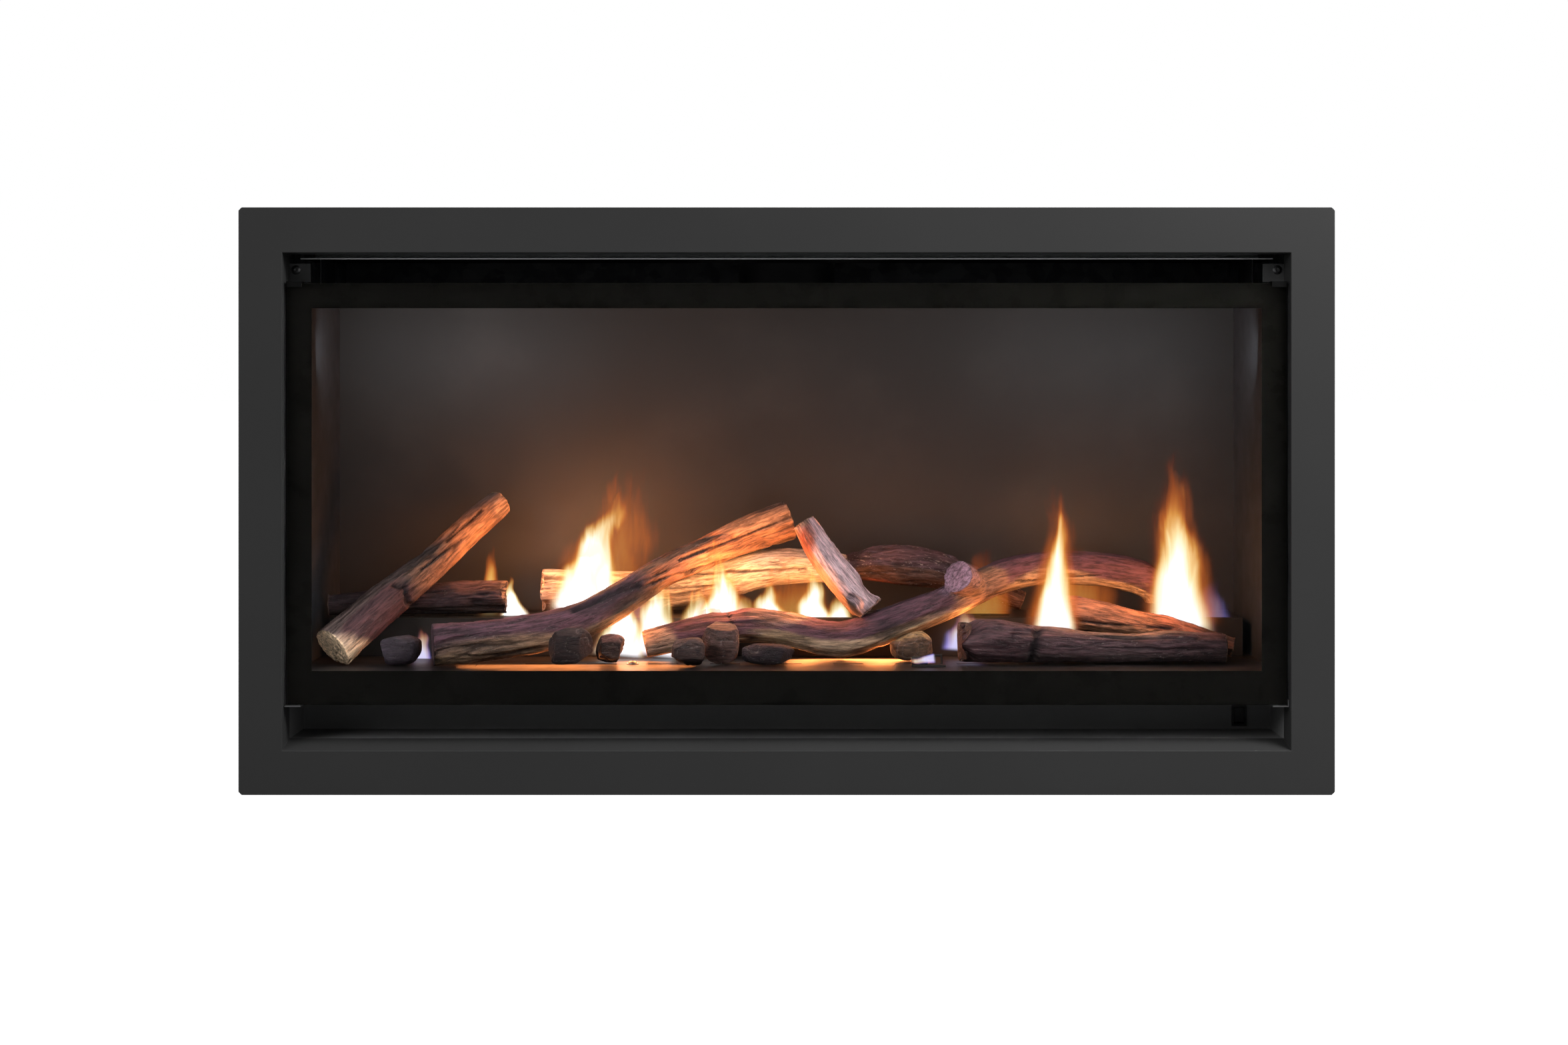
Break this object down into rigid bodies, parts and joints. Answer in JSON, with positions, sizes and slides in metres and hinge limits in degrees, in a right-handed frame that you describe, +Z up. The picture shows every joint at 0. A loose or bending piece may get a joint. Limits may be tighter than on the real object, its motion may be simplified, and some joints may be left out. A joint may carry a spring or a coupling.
{
  "type": "gas fireplace",
  "caption": "Wide built-in gas log fire: flat steel fascia, frameless glass door with a black border, ceramic log set on a burner, and a steel casing with fan and flue collars.",
  "frame": {"origin": "centre of the bounding box, on the plane the foot rails stand on", "axes": "+X to the right as seen from the room, +Y back from the fascia into the wall, +Z up"},
  "size_m": [1.05, 0.4, 0.5705],
  "materials": {
    "charcoal_paint": "satin charcoal heat-resistant paint on folded steel",
    "ceramic_glass": "clear ceramic glass, polished",
    "black_enamel": "black border fired on the back of the pane",
    "black_steel": "matt black stove paint on sheet steel",
    "gasket_rope": "woven glass fibre rope",
    "bright_steel": "bright drawn steel",
    "galvanised_steel": "galvanised sheet with a faint spangle",
    "liner_board": "black coated refractory board, satin",
    "satin_floor": "satin black paint on steel",
    "ceramic_log": "moulded ceramic fibre painted as scorched bark",
    "charred_log": "moulded ceramic fibre painted as charred wood with pale ash",
    "ceramic_ember": "moulded ceramic fibre painted as coal",
    "brass_fitting": "turned brass",
    "cast_aluminium": "die-cast, as cast",
    "fan_aluminium": "rolled aluminium",
    "black_plastic": "fine-textured black moulding"
  },
  "bodies": {
    "casing": {"casing_body": "galvanised_steel", "casing_top": "galvanised_steel", "casing_front": "black_steel", "foot_rail_left": "galvanised_steel", "foot_rail_right": "galvanised_steel", "inlet_tray": "black_steel", "air_deflector": "black_steel", "bracket_left": "galvanised_steel", "bracket_right": "galvanised_steel", "firebox_shell": "black_steel", "liner_back": "liner_board", "liner_left": "liner_board", "liner_right": "liner_board", "floor_plate": "satin_floor", "rear_burner": "black_steel", "front_burner": "black_steel", "pilot_burner": "bright_steel", "log_left": "ceramic_log", "log_back_left": "charred_log", "log_main": "ceramic_log", "log_forked": "ceramic_log", "log_prop": "ceramic_log", "log_charred": "charred_log", "log_back": "ceramic_log", "log_front_right": "ceramic_log", "log_mid_right": "ceramic_log", "ember_1": "ceramic_ember", "ember_2": "ceramic_ember", "ember_3": "ceramic_ember", "ember_4": "ceramic_ember", "ember_5": "ceramic_ember", "ember_6": "ceramic_ember", "ember_7": "ceramic_ember", "burner_venturi": "galvanised_steel", "gas_pipe": "brass_fitting", "gas_valve": "cast_aluminium", "isolation_cock": "brass_fitting", "blower_housing": "galvanised_steel", "blower_motor": "black_steel", "flue_outer_collar": "galvanised_steel", "flue_inner_collar": "galvanised_steel", "control_box": "black_plastic", "switch_bezel": "black_plastic", "cable_gland": "black_plastic"},
    "fascia": {"fascia_frame": "charcoal_paint"},
    "door": {"glass_pane": "ceramic_glass", "glass_enamel_border": "black_enamel", "glass_carrier": "black_steel", "rope_gasket": "gasket_rope", "top_clip_left": "black_steel", "top_clip_right": "black_steel", "bottom_ledge_left": "bright_steel", "bottom_ledge_right": "bright_steel"},
    "rotor": {"blower_rotor": "fan_aluminium"},
    "knob": {"valve_knob": "black_plastic"},
    "shutter": {"air_shutter": "galvanised_steel"},
    "flap_left": {"relief_flap_left": "galvanised_steel"},
    "flap_right": {"relief_flap_right": "galvanised_steel"},
    "lever": {"cock_lever": "bright_steel"},
    "rocker": {"rocker_switch": "black_plastic"}
  },
  "joints": [
    {"name": "fascia_slide", "type": "slide", "parent": "casing", "child": "fascia", "axis": [0, -1, 0], "range_m": [0, 0.05]},
    {"name": "door_slide", "type": "slide", "parent": "casing", "child": "door", "axis": [0, -0.9781, 0.2079], "range_m": [0, 0.1]},
    {"name": "rotor_spin", "type": "hinge", "parent": "casing", "child": "rotor", "pos_m": [0, 0.14, 0.067], "axis": [1, 0, 0], "continuous": true},
    {"name": "knob_turn", "type": "hinge", "parent": "casing", "child": "knob", "pos_m": [0.3175, -0.08726, 0.073], "axis": [0, 1, 0], "range_deg": [0, 180]},
    {"name": "shutter_turn", "type": "hinge", "parent": "casing", "child": "shutter", "pos_m": [0.16, -0.03725, 0.073], "axis": [1, 0, 0], "range_deg": [0, 45]},
    {"name": "flap_left_lift", "type": "hinge", "parent": "casing", "child": "flap_left", "pos_m": [-0.3, -0.01799, 0.4878], "axis": [-1, 0, 0], "range_deg": [0, 30]},
    {"name": "flap_right_lift", "type": "hinge", "parent": "casing", "child": "flap_right", "pos_m": [0.3, -0.01799, 0.4878], "axis": [-1, 0, 0], "range_deg": [0, 30]},
    {"name": "lever_turn", "type": "hinge", "parent": "casing", "child": "lever", "pos_m": [0.4318, -0.03725, 0.095], "axis": [0, 0, -1], "range_deg": [0, 90]},
    {"name": "rocker_tilt", "type": "hinge", "parent": "casing", "child": "rocker", "pos_m": [0.452, -0.098, 0.063], "axis": [1, 0, 0], "range_deg": [0, 12]}
  ]
}
